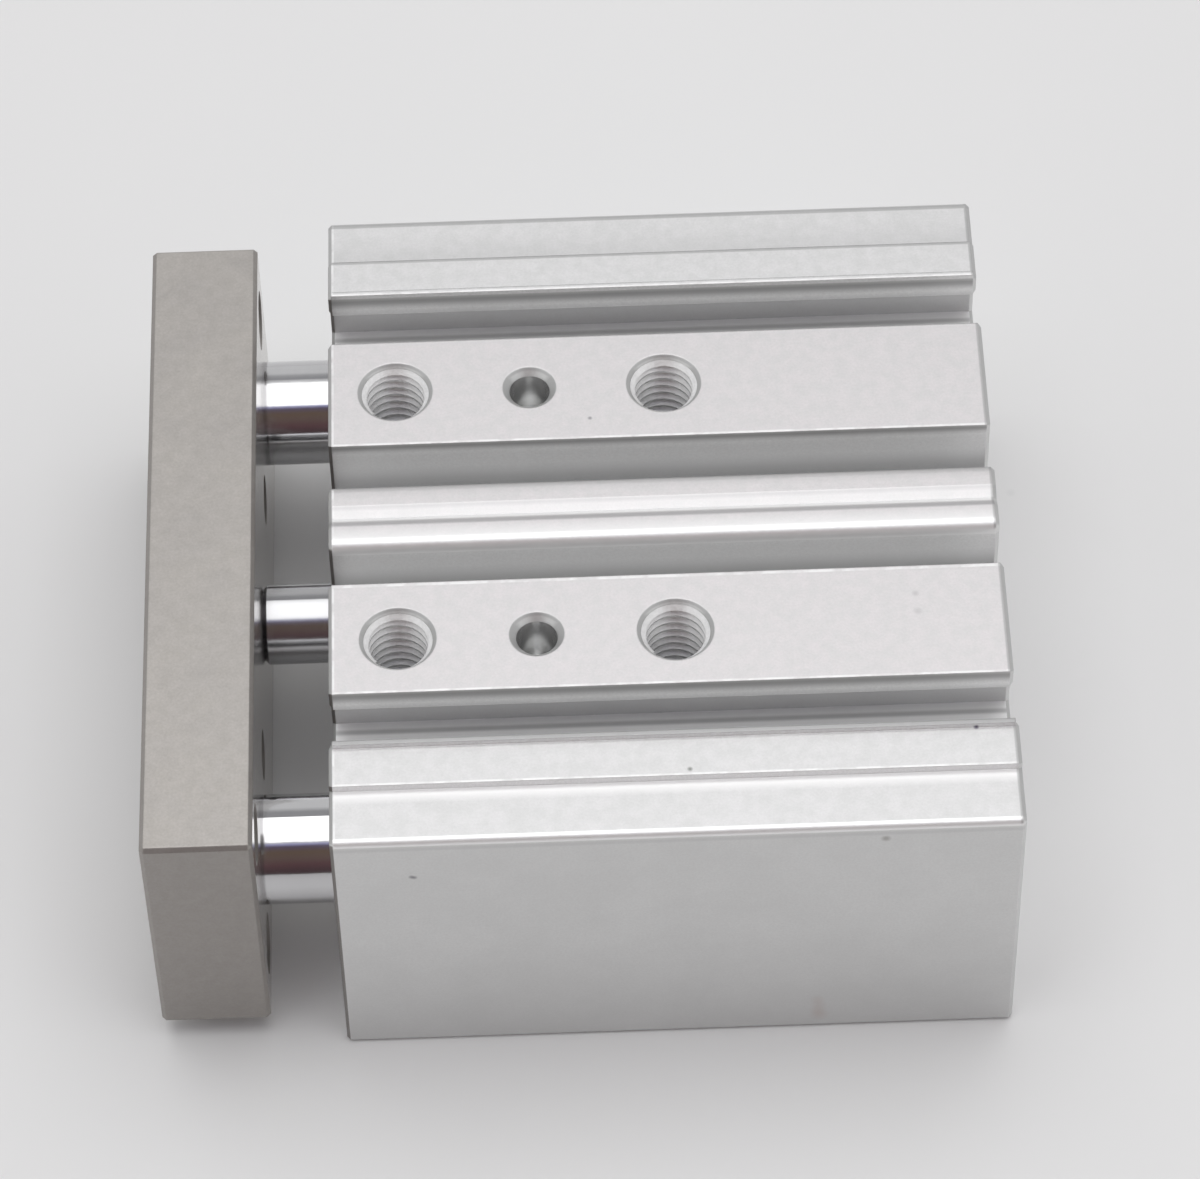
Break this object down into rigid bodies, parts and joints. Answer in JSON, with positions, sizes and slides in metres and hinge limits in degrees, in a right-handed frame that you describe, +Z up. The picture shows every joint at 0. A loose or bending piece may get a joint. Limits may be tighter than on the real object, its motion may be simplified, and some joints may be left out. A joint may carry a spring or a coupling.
{
  "type": "guided pneumatic cylinder",
  "caption": "Compact guided air cylinder: a slotted extruded body whose piston rod and parallel guide rods push a flat front plate in and out.",
  "frame": {"origin": "middle of the footprint on the port face with the rods drawn in", "axes": "+Z up out of the mounting lands, +X from the front plate to the rear face, rods move out along -X"},
  "size_m": [0.0624, 0.058, 0.0264],
  "materials": {
    "anodised_body": "fine bead-blasted clear anodised extrusion",
    "turned_cover": "turned and clear anodised",
    "nickel_plate": "satin electroless nickel on steel, warm grey",
    "chrome_rod": "ground, hard chromed and polished",
    "spring_steel": "dark phosphated spring steel",
    "bolt_steel": "zinc plated socket head bolt",
    "bearing_bronze": "bearing alloy, bored smooth",
    "seal_rubber": "moulded nitrile rubber",
    "bumper_rubber": "moulded urethane",
    "bonded_magnet": "bonded magnet ring"
  },
  "bodies": {
    "cylinder": {"cylinder_body": "anodised_body", "rod_cover": "turned_cover", "rod_seal": "seal_rubber", "rod_cover_gasket": "seal_rubber", "rod_cover_retaining_ring": "spring_steel", "head_cover": "turned_cover", "head_cover_gasket": "seal_rubber", "head_cover_retaining_ring": "spring_steel", "rod_side_bumper": "bumper_rubber", "head_side_bumper": "bumper_rubber", "front_left_bush": "bearing_bronze", "front_right_bush": "bearing_bronze", "rear_left_bush": "bearing_bronze", "rear_right_bush": "bearing_bronze"},
    "slide": {"front_plate": "nickel_plate", "piston_rod": "chrome_rod", "guide_rod_left": "chrome_rod", "guide_rod_right": "chrome_rod", "piston": "turned_cover", "piston_seal": "seal_rubber", "piston_magnet": "bonded_magnet", "piston_gasket": "seal_rubber", "rod_bolt": "bolt_steel", "guide_bolt_left": "bolt_steel", "guide_bolt_right": "bolt_steel"}
  },
  "joints": [
    {"name": "rod_slide", "type": "slide", "parent": "cylinder", "child": "slide", "axis": [-1, 0, 0], "range_m": [0, 0.02]}
  ]
}
